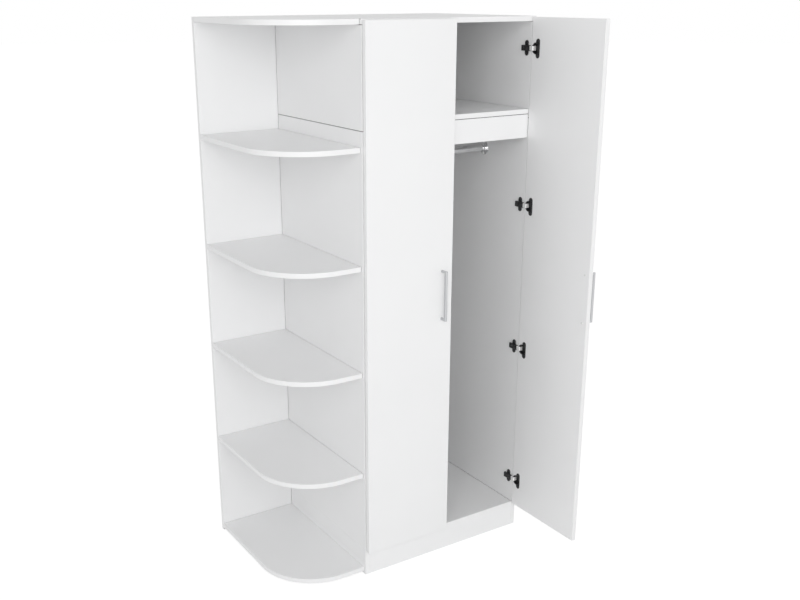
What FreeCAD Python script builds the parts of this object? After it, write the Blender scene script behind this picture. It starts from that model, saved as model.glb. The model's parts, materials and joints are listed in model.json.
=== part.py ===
import FreeCAD, Part
import os
from FreeCAD import Vector

# A two-door wardrobe with an open quarter-round shelf unit on its left end.
# Millimetres. +X runs right along the front, +Y to the back, +Z up. The origin is on the
# floor, at the front edge of the carcass, in the middle of the left side's thickness.

# Overall sizes
HEIGHT = 1810.0  # floor to the top of the top board
WIDTH = 650.0  # over the two sides of the wardrobe
SIDE_DEPTH = 553.0  # front edge to back edge of a side
CORNER_WIDTH = 283.0  # reach of the shelf unit to the left of the wardrobe
BOARD = 16.0  # thickness of every carcass board
BACK_SHEET = 3.0  # thickness of the hardboard back

# Heights of the carcass
BASE_HEIGHT = 95.0  # top of the base frame and of the bottom board
UPPER_BAY = 272.0  # clear height between the upper shelf and the top board
SEAM_DROP = 28.0  # top of the upper shelf down to the seam between the side panels
RAIL_HEIGHT = 76.0

# Open shelf unit
CORNER_LIFT = 10.0  # floor to the underside of its bottom board
GLIDE_RADIUS = 12.0
GLIDE_INSET = 40.0  # glide centres in from the edges of the bottom board
OPEN_BAYS = (336.0, 338.0, 334.0)  # clear heights of the lower bays, from the bottom up
TOP_SHELF_DROP = 48.0  # seam of the sides down to the top of the highest shelf
SHELF_SETBACK = 10.0  # shelf front behind the front edge of the sides
SHELF_RADIUS = 200.0  # the rounded front corner
SHELF_DOWEL_INSET = 70.0  # dowels in from the front and back of a shelf

# Doors
DOOR = 16.0  # thickness of a door
DOOR_GAP = 4.0  # between the front edge of the sides and the back of a door
DOOR_REVEAL = 1.5  # outer face of a side to the edge of its door
DOOR_SPLIT = 3.0  # between the two doors
DOOR_CLEAR = 3.0  # below the top of the top board
DOOR_OVERLAP = 5.0  # below the top of the base
RIGHT_DOOR_ANGLE = 90.0  # the right door stands open by this much

# Cup hinges
HINGE_COUNT = 4  # on each door
HINGE_HEAD = 95.0  # highest hinge centre to the top of the door
HINGE_FOOT = 103.0  # lowest hinge centre to the bottom of the door
CUP_RADIUS = 17.5
CUP_WALL = 1.0
CUP_DEPTH = 12.5  # cup bore into the door
CUP_EDGE = 3.0  # door edge to the rim of the bore
CUP_FIT = 0.1
FLANGE_THICK = 1.2
FLANGE_RADIUS = 18.0
FLANGE_LENGTH = 60.0
FLANGE_WIDTH = 17.0
CUP_SCREW_SPACING = 48.0
CUP_SCREW_OFFSET = 9.5  # from the middle of the cup, away from the door edge
PIN_RADIUS = 1.5
PIN_FIT = 0.05  # running clearance of the pin in the neck
PIN_INSET = 8.2  # pin centre in from the door edge
PIN_DEPTH = 8.0  # pin centre in from the back of the door
KNUCKLE_RADIUS = 2.5
NECK_WIDTH = 14.0
NECK_THICK = 2.5
NECK_BEND = 4.0
NECK_TAIL = 34.0  # behind the front edge of the side
EAR_THICK = 3.0
EAR_GAP = 0.3
EAR_HEIGHT = 7.0
PLATE_THICK = 2.0
PLATE_LENGTH = 36.0
PLATE_HEIGHT = 48.0
PLATE_BAR = 16.0
PLATE_SETBACK = 3.0
PLATE_SCREW_SPACING = 32.0
RAIL_STEP = 2.5  # raised rail that lifts the neck off the plate
RAIL_WIDTH = 10.0
ARM_WALL = 1.5
ARM_WIDTH = 17.5
ARM_NOSE = 1.0  # front end of the arm behind the front edge of the side
ARM_SCREW_INSET = 10.0

# Handles
HANDLE_SPACING = 160.0
HANDLE_BAR = 7.0
HANDLE_REACH = 28.0
HANDLE_GRIP = 10.0
HANDLE_ROUND = 2.0
LEFT_HANDLE_INSET = 40.0  # handle centre in from the free edge of the left door
RIGHT_HANDLE_INSET = 20.0  # and of the right door
HANDLE_Z = 954.0

# Hanging rod
ROD_RADIUS = 12.5
ROD_WALL = 1.2
ROD_Y = 225.0
ROD_DROP = 60.0  # lower edge of the rail down to the middle of the rod
ROD_END_CLEAR = 0.3
SOCKET_FIT = 0.2
SOCKET_WALL = 3.0
SOCKET_LENGTH = 14.0
SOCKET_FLANGE = 24.0
SOCKET_BASE = 2.5
SOCKET_SCREW_RADIUS = 19.5

# Fasteners
PEG_SIDES = 8  # flat sides of a dowel or screw, few because there are so many of them
SCREW_RADIUS = 1.75
SCREW_HEAD_RADIUS = 3.5
SCREW_HEAD = 1.8
SCREW_BITE = 11.0  # length of a wood screw in its board
SCREW_FIT = 0.05
DOWEL_RADIUS = 4.0
DOWEL_FIT = 0.05
DOWEL_END = 0.5  # air at each end of a dowel
DOWEL_FACE = 11.0  # bore into the face of a board
DOWEL_EDGE = 21.0  # bore into the edge of a board
DOWEL_BUTT = 16.0  # bore into each of two edges that meet
DOWEL_INSET = 60.0  # dowels in from the front and back edges

# Places worked out from the sizes
left_outer = -BOARD / 2
left_inner = left_outer + BOARD
right_outer = left_outer + WIDTH
right_inner = right_outer - BOARD
door_back = -DOOR_GAP
door_front = door_back - DOOR
carcass_back = SIDE_DEPTH + BACK_SHEET
corner_panel_front = carcass_back - BOARD
top_under = HEIGHT - BOARD
upper_shelf_top = top_under - UPPER_BAY
shelf_under = upper_shelf_top - BOARD
seam_z = upper_shelf_top - SEAM_DROP
rail_under = shelf_under - RAIL_HEIGHT
rod_z = rail_under - ROD_DROP
door_width = (WIDTH - 2 * DOOR_REVEAL - DOOR_SPLIT) / 2
door_bottom = BASE_HEIGHT - DOOR_OVERLAP
door_top = HEIGHT - DOOR_CLEAR
lowest_hinge = door_bottom + HINGE_FOOT
hinge_step = (door_top - HINGE_HEAD - lowest_hinge) / (HINGE_COUNT - 1)
hinge_heights = [lowest_hinge + hinge_step * i for i in range(HINGE_COUNT)]
dowel_rows = (DOWEL_INSET, SIDE_DEPTH - DOWEL_INSET)
inner_dowel_rows = (2 * DOWEL_INSET, SIDE_DEPTH - 2 * DOWEL_INSET)

shelf_tops = [CORNER_LIFT + BOARD]
for bay in OPEN_BAYS:
    shelf_tops.append(shelf_tops[-1] + bay + BOARD)
shelf_tops.append(seam_z - TOP_SHELF_DROP)

X_AXIS = Vector(1, 0, 0)
Y_AXIS = Vector(0, 1, 0)
Z_AXIS = Vector(0, 0, 1)

nodes = {}  # node name to its list of solids
bores = {}  # node name to the shapes that are cut from it


def box(x0, x1, y0, y1, z0, z1):
    """A board or block between two corners."""
    return Part.makeBox(x1 - x0, y1 - y0, z1 - z0, Vector(x0, y0, z0))


def rod(start, direction, radius, length):
    """A round bar from a start point along a unit direction."""
    return Part.makeCylinder(radius, length, start, direction)


def peg(start, direction, radius, length):
    """A dowel, a screw's head or shank, or its hole, as an even-sided bar."""
    across = Vector(direction.z, direction.x, direction.y)
    corner = across * radius
    half_turn = FreeCAD.Rotation(direction, 180.0 / PEG_SIDES)
    turn = FreeCAD.Rotation(direction, 360.0 / PEG_SIDES)
    point = half_turn.multVec(corner)
    points = []
    for _ in range(PEG_SIDES):
        points.append(start + point)
        point = turn.multVec(point)
    outline = Part.makePolygon(points + points[:1])
    return Part.Face(outline).extrude(direction * length)


def add(name, *solids):
    """Add solids to a named node."""
    nodes.setdefault(name, []).extend(solids)


def bore(name, cutter):
    """Remember a hole to be cut from a named node."""
    bores.setdefault(name, []).append(cutter)


def add_dowel(group, first, second, at, direction, first_depth, second_depth):
    """A dowel that crosses the joint at a point, from the first board into the second."""
    start = at - direction * first_depth
    length = first_depth + second_depth
    hole = peg(start, direction, DOWEL_RADIUS + DOWEL_FIT, length)
    bore(first, hole)
    bore(second, hole)
    peg_start = start + direction * DOWEL_END
    add(group, peg(peg_start, direction, DOWEL_RADIUS, length - 2 * DOWEL_END))


def wood_screw(seat, direction, grip):
    """A pan-head screw whose head sits on a seat, with its shank along the direction."""
    head = peg(seat - direction * SCREW_HEAD, direction, SCREW_HEAD_RADIUS, SCREW_HEAD)
    shank = peg(seat, direction, SCREW_RADIUS, grip)
    return head.fuse(shank).removeSplitter()


def screw_hole(seat, direction, depth):
    """The clearance hole for a wood screw."""
    return peg(seat, direction, SCREW_RADIUS + SCREW_FIT, depth)


def rounded_bar(x0, thick, y_mid, z_mid, length, width, along_z):
    """A flat bar with round ends, lying in the YZ plane."""
    reach = (length - width) / 2
    if along_z:
        body = box(x0, x0 + thick, y_mid - width / 2, y_mid + width / 2, z_mid - reach, z_mid + reach)
        ends = [Vector(x0, y_mid, z_mid + s * reach) for s in (-1, 1)]
    else:
        body = box(x0, x0 + thick, y_mid - reach, y_mid + reach, z_mid - width / 2, z_mid + width / 2)
        ends = [Vector(x0, y_mid + s * reach, z_mid) for s in (-1, 1)]
    return body.multiFuse([rod(e, X_AXIS, width / 2, thick) for e in ends]).removeSplitter()


def build_base():
    """The base frame on the floor, flush with the carcass, and the bottom board in it."""
    add("base_left_side", box(left_outer, left_inner, 0, SIDE_DEPTH, 0, BASE_HEIGHT))
    add("base_right_side", box(right_inner, right_outer, 0, SIDE_DEPTH, 0, BASE_HEIGHT))
    add("plinth_front", box(left_inner, right_inner, 0, BOARD, 0, BASE_HEIGHT))
    floor_under = BASE_HEIGHT - BOARD
    add("plinth_rear", box(left_inner, right_inner, SIDE_DEPTH - BOARD, SIDE_DEPTH, 0, floor_under))
    add("bottom_board", box(left_inner, right_inner, BOARD, SIDE_DEPTH, floor_under, BASE_HEIGHT))
    joints = [("bottom_board", y, floor_under + BOARD / 2) for y in inner_dowel_rows]
    joints.append(("plinth_front", BOARD / 2, BASE_HEIGHT / 2))
    joints.append(("plinth_rear", SIDE_DEPTH - BOARD / 2, floor_under / 2))
    for board_name, y, z in joints:
        join_to_sides(board_name, "base_left_side", "base_right_side", y, z)


def join_to_sides(board_name, left_name, right_name, y, z):
    """One dowel from each end of a crosswise board into the side that it meets."""
    for side_name, x, way in ((left_name, left_inner, 1), (right_name, right_inner, -1)):
        at = Vector(x, y, z)
        add_dowel("carcass_dowels", side_name, board_name, at, X_AXIS * way, DOWEL_FACE, DOWEL_EDGE)


def build_carcass():
    """Side panels in two heights, the top, the shelf, the rails and the hardboard backs."""
    for hand, x0 in (("left", left_outer), ("right", right_inner)):
        lower = f"lower_{hand}_side"
        upper = f"upper_{hand}_side"
        add(lower, box(x0, x0 + BOARD, 0, SIDE_DEPTH, BASE_HEIGHT, seam_z))
        add(upper, box(x0, x0 + BOARD, 0, SIDE_DEPTH, seam_z, top_under))
        x = x0 + BOARD / 2
        for y in dowel_rows:
            base_at = Vector(x, y, BASE_HEIGHT)
            add_dowel("carcass_dowels", f"base_{hand}_side", lower, base_at, Z_AXIS, DOWEL_BUTT, DOWEL_BUTT)
            seam_at = Vector(x, y, seam_z)
            add_dowel("carcass_dowels", lower, upper, seam_at, Z_AXIS, DOWEL_BUTT, DOWEL_BUTT)
            top_at = Vector(x, y, top_under)
            add_dowel("carcass_dowels", upper, "top_board", top_at, Z_AXIS, DOWEL_EDGE, DOWEL_FACE)
    add("top_board", box(left_outer, right_outer, 0, SIDE_DEPTH, top_under, HEIGHT))
    add("upper_shelf", box(left_inner, right_inner, 0, SIDE_DEPTH, shelf_under, upper_shelf_top))
    for y in inner_dowel_rows:
        z = shelf_under + BOARD / 2
        join_to_sides("upper_shelf", "upper_left_side", "upper_right_side", y, z)
    for name, y0 in (("front_rail", 0), ("rear_rail", SIDE_DEPTH - BOARD)):
        add(name, box(left_inner, right_inner, y0, y0 + BOARD, rail_under, shelf_under))
        z = (rail_under + seam_z) / 2
        join_to_sides(name, "lower_left_side", "lower_right_side", y0 + BOARD / 2, z)
    back_bottom = BASE_HEIGHT - BOARD
    add("lower_back", box(left_outer, right_outer, SIDE_DEPTH, carcass_back, back_bottom, seam_z))
    add("upper_back", box(left_outer, right_outer, SIDE_DEPTH, carcass_back, seam_z, HEIGHT))


def quarter_round_board(z0):
    """A shelf of the end unit: square at the back, one large round at its free front corner."""
    free = left_outer - CORNER_WIDTH
    bend_y = SHELF_SETBACK + SHELF_RADIUS
    bend_x = free + SHELF_RADIUS
    mid = SHELF_RADIUS * (1 - 0.5 ** 0.5)
    back_left = Vector(free, corner_panel_front, z0)
    back_right = Vector(left_outer, corner_panel_front, z0)
    front_right = Vector(left_outer, SHELF_SETBACK, z0)
    bend_front = Vector(bend_x, SHELF_SETBACK, z0)
    bend_mid = Vector(free + mid, SHELF_SETBACK + mid, z0)
    bend_side = Vector(free, bend_y, z0)
    edges = [
        Part.LineSegment(back_left, back_right).toShape(),
        Part.LineSegment(back_right, front_right).toShape(),
        Part.LineSegment(front_right, bend_front).toShape(),
        Part.Arc(bend_front, bend_mid, bend_side).toShape(),
        Part.LineSegment(bend_side, back_left).toShape(),
    ]
    return Part.Face(Part.Wire(edges)).extrude(Vector(0, 0, BOARD))


def build_corner_unit():
    """The open end unit: a full-height back panel, six quarter-round boards and three glides."""
    free = left_outer - CORNER_WIDTH
    add("corner_back", box(free, left_outer, corner_panel_front, carcass_back, 0, HEIGHT))
    levels = [("corner_bottom", shelf_tops[0], "base_left_side")]
    for i, top in enumerate(shelf_tops[1:]):
        levels.append((f"corner_shelf_{i + 1}", top, "lower_left_side"))
    levels.append(("corner_top", HEIGHT, "top_board"))
    for name, top, neighbour in levels:
        add(name, quarter_round_board(top - BOARD))
        z = top - BOARD / 2
        for y in (SHELF_SETBACK + SHELF_DOWEL_INSET, corner_panel_front - SHELF_DOWEL_INSET):
            at = Vector(left_outer, y, z)
            add_dowel("corner_dowels", neighbour, name, at, -X_AXIS, DOWEL_FACE, DOWEL_EDGE)
        at = Vector(left_outer - CORNER_WIDTH / 2, corner_panel_front, z)
        add_dowel("corner_dowels", "corner_back", name, at, -Y_AXIS, DOWEL_FACE, DOWEL_EDGE)
    rear = corner_panel_front - GLIDE_INSET
    bend = SHELF_SETBACK + SHELF_RADIUS
    for x, y in ((free + GLIDE_INSET, rear), (free + GLIDE_INSET, bend), (left_outer - GLIDE_INSET, bend)):
        add("corner_glides", rod(Vector(x, y, 0), Z_AXIS, GLIDE_RADIUS, CORNER_LIFT))


def build_rod():
    """The hanging rod, a tube held by a round socket on each side."""
    for x, way, side in ((left_inner, 1, "lower_left_side"), (right_inner, -1, "lower_right_side")):
        out = X_AXIS * way
        seat = Vector(x, ROD_Y, rod_z)
        outer = ROD_RADIUS + SOCKET_FIT + SOCKET_WALL
        base = rod(seat, out, SOCKET_FLANGE, SOCKET_BASE)
        ring = rod(seat + out * SOCKET_BASE, out, outer, SOCKET_LENGTH - SOCKET_BASE)
        hollow = rod(seat + out * SOCKET_BASE, out, ROD_RADIUS + SOCKET_FIT, SOCKET_LENGTH)
        add("rod_sockets", base.fuse(ring).removeSplitter().cut(hollow))
        for turn in (-1, 1):
            head_seat = seat + out * SOCKET_BASE + Z_AXIS * (turn * SOCKET_SCREW_RADIUS)
            grip = SOCKET_BASE + SCREW_BITE
            add("rod_screws", wood_screw(head_seat, -out, grip))
            hole = screw_hole(head_seat, -out, grip)
            bore("rod_sockets", hole)
            bore(side, hole)
    inset = SOCKET_BASE + ROD_END_CLEAR
    start = Vector(left_inner + inset, ROD_Y, rod_z)
    length = right_inner - left_inner - 2 * inset
    tube = rod(start, X_AXIS, ROD_RADIUS, length)
    add("hanging_rod", tube.cut(rod(start, X_AXIS, ROD_RADIUS - ROD_WALL, length)))


# Hinge pieces are made for the left door with the hinge at z = 0 and x, y from the outer
# front corner of the side. Forward, out of the wardrobe, is -Y.
pin_x = DOOR_REVEAL + PIN_INSET
pin_y = -(DOOR_GAP + PIN_DEPTH)
pin_half = NECK_WIDTH / 2 + EAR_GAP + EAR_THICK
cup_x = DOOR_REVEAL + CUP_EDGE + CUP_RADIUS
cup_floor = -(DOOR_GAP + CUP_DEPTH)
plate_top = BOARD + PLATE_THICK
neck_low = plate_top + RAIL_STEP
neck_high = neck_low + NECK_THICK
plate_mid_y = PLATE_SETBACK + PLATE_LENGTH / 2
arm_back = PLATE_SETBACK + PLATE_LENGTH
arm_screw_ys = (PLATE_SETBACK + ARM_SCREW_INSET, arm_back - ARM_SCREW_INSET)
cup_screw_x = cup_x + CUP_SCREW_OFFSET


def hinge_cup():
    """The cup that is let into the door, with its screw flange and the two ears for the pin."""
    mouth = Vector(cup_x, door_back, 0)
    face = Vector(cup_x, door_back + FLANGE_THICK, 0)
    shell = rod(mouth, -Y_AXIS, CUP_RADIUS, CUP_DEPTH)
    flange = rod(face, -Y_AXIS, FLANGE_RADIUS, FLANGE_THICK)
    reach = (FLANGE_LENGTH - FLANGE_WIDTH) / 2
    half = FLANGE_WIDTH / 2
    wing = box(cup_screw_x - half, cup_screw_x + half, door_back, face.y, -reach, reach)
    tips = [Vector(cup_screw_x, face.y, s * reach) for s in (-1, 1)]
    wings = [wing] + [rod(t, -Y_AXIS, half, FLANGE_THICK) for t in tips]
    outside = shell.multiFuse([flange] + wings).removeSplitter()
    hollow = rod(face, -Y_AXIS, CUP_RADIUS - CUP_WALL, CUP_DEPTH + FLANGE_THICK - CUP_WALL)
    cup = outside.cut(hollow)
    ears = []
    for low in (NECK_WIDTH / 2 + EAR_GAP, -NECK_WIDTH / 2 - EAR_GAP - EAR_THICK):
        ear_end = pin_x + KNUCKLE_RADIUS
        ear_top = cup_floor + EAR_HEIGHT
        ear = box(cup_x - CUP_RADIUS, ear_end, cup_floor, ear_top, low, low + EAR_THICK)
        ears.append(ear.common(shell))
    cup = cup.multiFuse(ears).removeSplitter()
    pin_hole = rod(Vector(pin_x, pin_y, -pin_half), Z_AXIS, PIN_RADIUS + PIN_FIT, 2 * pin_half)
    cup = cup.cut(pin_hole)
    for s in (-1, 1):
        seat = Vector(cup_screw_x, face.y, s * CUP_SCREW_SPACING / 2)
        cup = cup.cut(screw_hole(seat, -Y_AXIS, FLANGE_THICK))
    return cup


def hinge_pin():
    """The steel pin through the ears of the cup."""
    return rod(Vector(pin_x, pin_y, -pin_half), Z_AXIS, PIN_RADIUS, 2 * pin_half)


def hinge_neck():
    """The swan neck that reaches from the arm round the side's front edge into the cup."""
    z0 = -NECK_WIDTH / 2
    outer = pin_y - KNUCKLE_RADIUS
    inner = outer + NECK_THICK
    bend = NECK_BEND * (1 - 0.5 ** 0.5)
    curl = (KNUCKLE_RADIUS ** 2 - (inner - pin_y) ** 2) ** 0.5
    tail_low = Vector(neck_low, NECK_TAIL, z0)
    crook = Vector(neck_low, inner, z0)
    eye_in = Vector(pin_x + curl, inner, z0)
    eye_tip = Vector(pin_x - KNUCKLE_RADIUS, pin_y, z0)
    eye_out = Vector(pin_x, outer, z0)
    bend_start = Vector(neck_high - NECK_BEND, outer, z0)
    bend_mid = Vector(neck_high - bend, outer + bend, z0)
    bend_end = Vector(neck_high, outer + NECK_BEND, z0)
    tail_high = Vector(neck_high, NECK_TAIL, z0)
    edges = [
        Part.LineSegment(tail_low, crook).toShape(),
        Part.LineSegment(crook, eye_in).toShape(),
        Part.Arc(eye_in, eye_tip, eye_out).toShape(),
        Part.LineSegment(eye_out, bend_start).toShape(),
        Part.Arc(bend_start, bend_mid, bend_end).toShape(),
        Part.LineSegment(bend_end, tail_high).toShape(),
        Part.LineSegment(tail_high, tail_low).toShape(),
    ]
    neck = Part.Face(Part.Wire(edges)).extrude(Vector(0, 0, NECK_WIDTH))
    neck = neck.cut(rod(Vector(pin_x, pin_y, z0), Z_AXIS, PIN_RADIUS + PIN_FIT, NECK_WIDTH))
    for y in arm_screw_ys:
        neck = neck.cut(screw_hole(Vector(neck_high, y, 0), -X_AXIS, NECK_THICK))
    return neck


def hinge_plate():
    """The cross-shaped mounting plate on the inner face of the side, with its raised rail."""
    long_bar = rounded_bar(BOARD, PLATE_THICK, plate_mid_y, 0, PLATE_LENGTH, PLATE_BAR, False)
    tall_bar = rounded_bar(BOARD, PLATE_THICK, plate_mid_y, 0, PLATE_HEIGHT, PLATE_BAR, True)
    half = RAIL_WIDTH / 2
    rail = box(plate_top, neck_low, PLATE_SETBACK, arm_back, -half, half)
    rail = rail.common(rounded_bar(plate_top, RAIL_STEP, plate_mid_y, 0, PLATE_LENGTH, PLATE_BAR, False))
    plate = long_bar.multiFuse([tall_bar, rail]).removeSplitter()
    for s in (-1, 1):
        seat = Vector(plate_top, plate_mid_y, s * PLATE_SCREW_SPACING / 2)
        plate = plate.cut(screw_hole(seat, -X_AXIS, PLATE_THICK))
    for y in arm_screw_ys:
        plate = plate.cut(screw_hole(Vector(neck_low, y, 0), -X_AXIS, RAIL_STEP))
    return plate


def hinge_arm():
    """The channel that covers the rail and clamps the tail of the neck."""
    half = ARM_WIDTH / 2
    arm = box(plate_top, neck_high + ARM_WALL, ARM_NOSE, arm_back, -half, half)
    arm = arm.cut(box(plate_top, neck_high, ARM_NOSE, arm_back, ARM_WALL - half, half - ARM_WALL))
    top_edges = [e for e in arm.Edges if e.CenterOfMass.x > neck_high + ARM_WALL / 2]
    long_edges = [e for e in top_edges if abs(e.CenterOfMass.z) > half - ARM_WALL / 2]
    arm = arm.makeFillet(ARM_WALL / 2, long_edges)
    for y in arm_screw_ys:
        arm = arm.cut(screw_hole(Vector(neck_high + ARM_WALL, y, 0), -X_AXIS, ARM_WALL))
    return arm


def arm_screw(y):
    """A screw through the arm and the neck into the rail."""
    seat = Vector(neck_high + ARM_WALL, y, 0)
    return wood_screw(seat, -X_AXIS, ARM_WALL + NECK_THICK + RAIL_STEP)


def plate_screw(s):
    """A screw that holds the plate to the side, above or below the arm."""
    seat = Vector(plate_top, plate_mid_y, s * PLATE_SCREW_SPACING / 2)
    return wood_screw(seat, -X_AXIS, PLATE_THICK + SCREW_BITE)


def cup_screw(s):
    """A screw that holds the flange of the cup to the door."""
    seat = Vector(cup_screw_x, door_back + FLANGE_THICK, s * CUP_SCREW_SPACING / 2)
    return wood_screw(seat, -Y_AXIS, FLANGE_THICK + SCREW_BITE)


def place(shape, hand, z):
    """Move a hinge piece to a height on the left or, mirrored, on the right side."""
    placed = shape.copy()
    if hand == "right":
        placed = placed.mirror(Vector(0, 0, 0), X_AXIS)
    placed.translate(Vector(left_outer if hand == "left" else right_outer, 0, z))
    return placed


def build_hinges(hand):
    """All hinges of one door, with the bores for their cups and screws."""
    cup_bore = rod(Vector(cup_x, door_back, 0), -Y_AXIS, CUP_RADIUS + CUP_FIT, CUP_DEPTH + CUP_FIT)
    pieces = [
        ("hinge_plates", hinge_plate()),
        ("hinge_arms", hinge_arm()),
        ("hinge_necks", hinge_neck()),
        ("hinge_cups", hinge_cup()),
        ("hinge_pins", hinge_pin()),
    ]
    pieces += [("arm_screws", arm_screw(y)) for y in arm_screw_ys]
    pieces += [("plate_screws", plate_screw(s)) for s in (-1, 1)]
    pieces += [("cup_screws", cup_screw(s)) for s in (-1, 1)]
    for z in hinge_heights:
        level = "upper" if z > seam_z else "lower"
        for name, shape in pieces:
            add(f"{hand}_{name}", place(shape, hand, z))
        bore(f"{hand}_door", place(cup_bore, hand, z))
        for s in (-1, 1):
            plate_seat = Vector(BOARD, plate_mid_y, s * PLATE_SCREW_SPACING / 2)
            bore(f"{level}_{hand}_side", place(screw_hole(plate_seat, -X_AXIS, SCREW_BITE), hand, z))
            cup_seat = Vector(cup_screw_x, door_back, s * CUP_SCREW_SPACING / 2)
            bore(f"{hand}_door", place(screw_hole(cup_seat, -Y_AXIS, SCREW_BITE), hand, z))


def build_door(hand):
    """One door, closed, with its handle and the two screws that hold the handle."""
    edge = left_outer + DOOR_REVEAL if hand == "left" else right_outer - DOOR_REVEAL - door_width
    add(f"{hand}_door", box(edge, edge + door_width, door_front, door_back, door_bottom, door_top))
    left_grip = edge + door_width - LEFT_HANDLE_INSET
    grip_x = left_grip if hand == "left" else edge + RIGHT_HANDLE_INSET
    half = HANDLE_BAR / 2
    reach = HANDLE_SPACING / 2 + half
    front = door_front - HANDLE_REACH
    bar = box(grip_x - half, grip_x + half, front, door_front, HANDLE_Z - reach, HANDLE_Z + reach)
    outer_edges = [e for e in bar.Edges if abs(e.CenterOfMass.y - front) < HANDLE_ROUND]
    bar = bar.makeFillet(HANDLE_ROUND, outer_edges)
    gap = HANDLE_SPACING / 2 - half
    gap_front = front + HANDLE_GRIP
    opening = box(grip_x - half, grip_x + half, gap_front, door_front, HANDLE_Z - gap, HANDLE_Z + gap)
    add(f"{hand}_handle", bar.cut(opening))
    for s in (-1, 1):
        seat = Vector(grip_x, door_back, HANDLE_Z + s * HANDLE_SPACING / 2)
        add(f"{hand}_handle_screws", wood_screw(seat, -Y_AXIS, DOOR + SCREW_BITE))
        hole = screw_hole(seat, -Y_AXIS, DOOR + SCREW_BITE)
        bore(f"{hand}_door", hole)
        bore(f"{hand}_handle", hole)


def finish_nodes():
    """Cut every bore, and keep the solids of each node."""
    finished = {}
    for name, solids in nodes.items():
        cutters = bores.get(name, [])
        kept = []
        for solid in solids:
            near = [c for c in cutters if c.BoundBox.intersect(solid.BoundBox)]
            kept.extend((solid.cut(near) if near else solid).Solids)
        finished[name] = kept
    return finished


def open_right_door(finished):
    """Turn the right door and all that it carries about its hinge pins."""
    moving = ("door", "handle", "handle_screws", "hinge_cups", "hinge_pins", "cup_screws")
    axis_point = Vector(right_outer - pin_x, pin_y, 0)
    for name in moving:
        for solid in finished[f"right_{name}"]:
            solid.rotate(axis_point, Z_AXIS, RIGHT_DOOR_ANGLE)


build_base()
build_carcass()
build_corner_unit()
build_rod()
for side_hand in ("left", "right"):
    build_door(side_hand)
    build_hinges(side_hand)
solids_by_node = finish_nodes()
open_right_door(solids_by_node)

os.makedirs("parts", exist_ok=True)
for node, node_solids in solids_by_node.items():
    shape = node_solids[0] if len(node_solids) == 1 else Part.makeCompound(node_solids)
    shape.exportStep(f"parts/{node}.step")
print(len(solids_by_node), "nodes,", sum(len(s) for s in solids_by_node.values()), "solids")
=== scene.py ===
"""Looks of a tall white corner wardrobe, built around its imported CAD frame.

Each sub-assembly of the wardrobe is a class that reads its places from the frame, builds its
meshes and dresses them. Lengths are in metres.
"""

import json
import logging
import math
from dataclasses import dataclass, field
from enum import Enum, IntEnum
from typing import Any

import bmesh
import bpy
import numpy as np
from mathutils import Matrix, Vector

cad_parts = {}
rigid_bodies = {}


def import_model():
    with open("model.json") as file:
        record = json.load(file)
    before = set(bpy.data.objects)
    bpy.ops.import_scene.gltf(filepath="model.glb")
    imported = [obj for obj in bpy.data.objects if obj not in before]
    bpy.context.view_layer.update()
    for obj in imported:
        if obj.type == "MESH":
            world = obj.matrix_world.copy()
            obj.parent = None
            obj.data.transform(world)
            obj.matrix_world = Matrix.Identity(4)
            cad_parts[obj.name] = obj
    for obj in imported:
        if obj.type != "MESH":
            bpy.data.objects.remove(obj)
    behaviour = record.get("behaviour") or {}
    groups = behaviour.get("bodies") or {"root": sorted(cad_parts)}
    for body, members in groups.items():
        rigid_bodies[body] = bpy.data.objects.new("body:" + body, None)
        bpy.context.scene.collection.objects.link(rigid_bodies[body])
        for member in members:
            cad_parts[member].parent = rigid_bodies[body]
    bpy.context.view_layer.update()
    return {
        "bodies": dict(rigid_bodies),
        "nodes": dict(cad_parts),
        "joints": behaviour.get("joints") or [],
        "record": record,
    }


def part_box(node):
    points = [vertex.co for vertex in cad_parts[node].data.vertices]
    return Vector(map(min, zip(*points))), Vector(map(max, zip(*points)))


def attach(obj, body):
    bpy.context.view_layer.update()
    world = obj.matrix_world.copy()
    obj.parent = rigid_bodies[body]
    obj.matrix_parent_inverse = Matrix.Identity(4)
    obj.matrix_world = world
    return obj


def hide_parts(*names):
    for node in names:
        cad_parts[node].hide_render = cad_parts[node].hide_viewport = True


LOG = logging.getLogger("wardrobe")
# Points closer than this are one point.
WELD = 0.00001
# An edge of a turned piece that is sharper than this stays crisp.
TURNED_EDGE = math.radians(40.0)
Frame = dict[str, Any]
Colour = tuple[float, float, float]
Triple = tuple[float, float, float]
BASE_BOARDS = ("base_left_side", "base_right_side", "plinth_front", "plinth_rear")
CARCASS_BOARDS = (
    "bottom_board", "lower_left_side", "lower_right_side", "upper_left_side", "upper_right_side",
    "top_board", "upper_shelf", "front_rail", "rear_rail", "corner_back",
)
CORNER_BOARDS = (
    "corner_bottom", "corner_shelf_1", "corner_shelf_2", "corner_shelf_3", "corner_shelf_4",
    "corner_top",
)


class Body(Enum):
    """The rigid bodies of the frame."""

    CARCASS = "carcass"
    LEFT_DOOR = "left_door"
    RIGHT_DOOR = "right_door"


class Hand(Enum):
    """The two doors and all that belongs to them."""

    LEFT = "left"
    RIGHT = "right"

    @property
    def door(self) -> Body:
        """The body of this hand's door."""
        return Body.LEFT_DOOR if self is Hand.LEFT else Body.RIGHT_DOOR


class Coat(IntEnum):
    """The material slots of a dressed board."""

    FACE = 0
    EDGE = 1
    # The joint slot holds painted shade: a dark coat for the shadow in the seams between boards.
    SEAM_SHADE = 2


class SheetSide(IntEnum):
    """The material slots of a hardboard sheet."""

    INNER = 0
    OUTER = 1


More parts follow.
